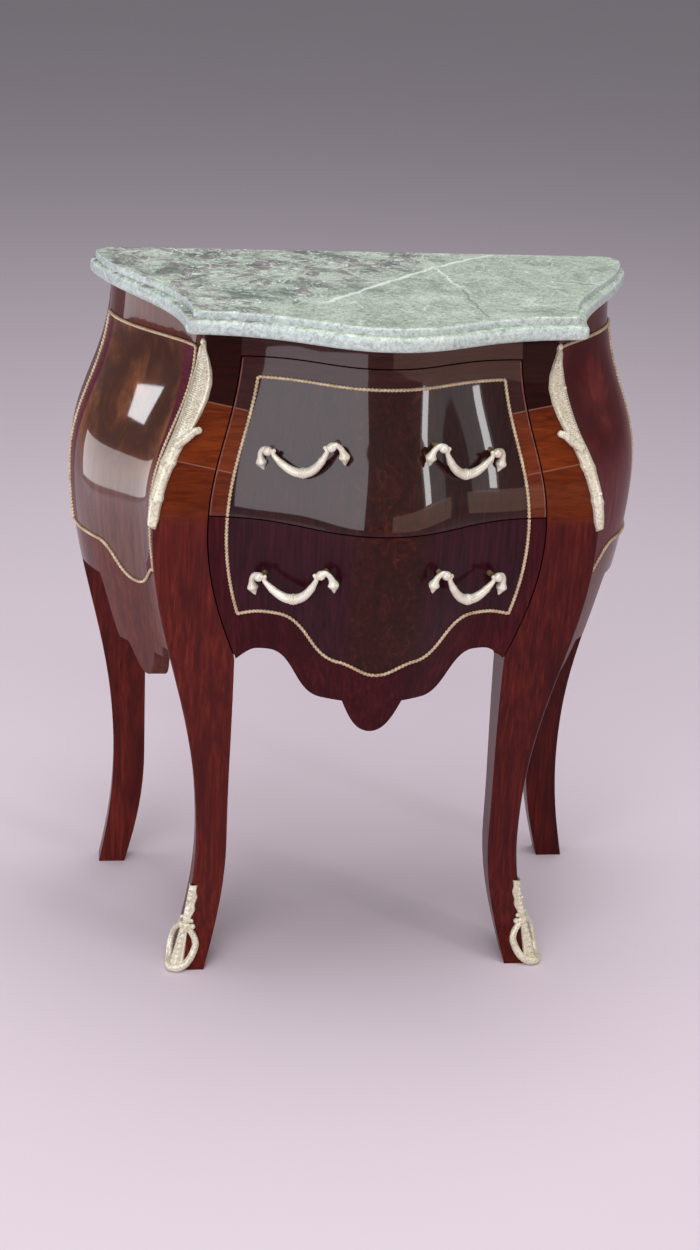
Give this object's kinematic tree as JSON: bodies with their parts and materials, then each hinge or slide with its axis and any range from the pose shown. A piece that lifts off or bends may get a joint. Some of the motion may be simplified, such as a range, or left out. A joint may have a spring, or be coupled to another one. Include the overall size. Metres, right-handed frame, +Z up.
{
  "type": "commode chest",
  "caption": "Small bombé commode chest with a marble top, serpentine sliding drawers, cabriole legs, brass corner mounts and swinging bail pulls.",
  "frame": {"origin": "on the floor, under the middle of the chest's bounding box", "axes": "+Z up, -Y towards the front, where the drawers open, +X to the viewer's right"},
  "size_m": [0.6624, 0.3568, 0.78],
  "materials": {
    "marble": "polished marble",
    "mahogany_veneer": "high-gloss polished veneer",
    "dark_mahogany": "gloss lacquer",
    "inner_wood": "plain sawn wood",
    "gilt_brass": "pale gilt cast brass"
  },
  "bodies": {
    "carcass": {"back_left_leg": "dark_mahogany", "back_panel": "inner_wood", "back_right_leg": "dark_mahogany", "bottom_front_rail": "inner_wood", "bottom_panel": "inner_wood", "front_left_leg": "dark_mahogany", "front_right_leg": "dark_mahogany", "left_corner_mount": "gilt_brass", "left_kicker": "inner_wood", "left_mount_pins": "gilt_brass", "left_sabot": "gilt_brass", "left_side_border": "gilt_brass", "left_side_panel": "mahogany_veneer", "lower_left_runner": "inner_wood", "lower_right_runner": "inner_wood", "marble_top": "marble", "middle_front_rail": "inner_wood", "right_corner_mount": "gilt_brass", "right_kicker": "inner_wood", "right_mount_pins": "gilt_brass", "right_sabot": "gilt_brass", "right_side_border": "gilt_brass", "right_side_panel": "mahogany_veneer", "top_back_rail": "inner_wood", "top_front_rail": "dark_mahogany", "upper_left_runner": "inner_wood", "upper_right_runner": "inner_wood"},
    "lower_drawer": {"lower_drawer_back": "inner_wood", "lower_drawer_border": "gilt_brass", "lower_drawer_bottom": "inner_wood", "lower_drawer_front": "mahogany_veneer", "lower_drawer_left_side": "inner_wood", "lower_drawer_right_side": "inner_wood", "lower_left_pull_posts": "gilt_brass", "lower_pull_nuts": "gilt_brass", "lower_right_pull_posts": "gilt_brass"},
    "lower_left_bail": {"lower_left_bail": "gilt_brass"},
    "lower_right_bail": {"lower_right_bail": "gilt_brass"},
    "upper_drawer": {"upper_drawer_back": "inner_wood", "upper_drawer_border": "gilt_brass", "upper_drawer_bottom": "inner_wood", "upper_drawer_front": "mahogany_veneer", "upper_drawer_left_side": "inner_wood", "upper_drawer_right_side": "inner_wood", "upper_left_pull_posts": "gilt_brass", "upper_pull_nuts": "gilt_brass", "upper_right_pull_posts": "gilt_brass"},
    "upper_left_bail": {"upper_left_bail": "gilt_brass"},
    "upper_right_bail": {"upper_right_bail": "gilt_brass"}
  },
  "joints": [
    {"name": "upper_drawer_slide", "type": "slide", "parent": "carcass", "child": "upper_drawer", "axis": [0, -1, 0], "range_m": [0, 0.19]},
    {"name": "lower_drawer_slide", "type": "slide", "parent": "carcass", "child": "lower_drawer", "axis": [0, -1, 0], "range_m": [0, 0.19]},
    {"name": "upper_left_bail_hinge", "type": "hinge", "parent": "upper_drawer", "child": "upper_left_bail", "pos_m": [-0.09017, -0.1301, 0.64], "axis": [-0.8745, 0.4383, -0.2079], "range_deg": [0, 120]},
    {"name": "upper_right_bail_hinge", "type": "hinge", "parent": "upper_drawer", "child": "upper_right_bail", "pos_m": [0.09017, -0.1301, 0.64], "axis": [-0.8745, -0.4383, 0.2079], "range_deg": [0, 120]},
    {"name": "lower_left_bail_hinge", "type": "hinge", "parent": "lower_drawer", "child": "lower_left_bail", "pos_m": [-0.09759, -0.15155, 0.507], "axis": [-0.8611, 0.4639, -0.2079], "range_deg": [-10, 120]},
    {"name": "lower_right_bail_hinge", "type": "hinge", "parent": "lower_drawer", "child": "lower_right_bail", "pos_m": [0.09759, -0.15155, 0.507], "axis": [-0.8611, -0.4639, 0.2079], "range_deg": [-10, 120]}
  ]
}
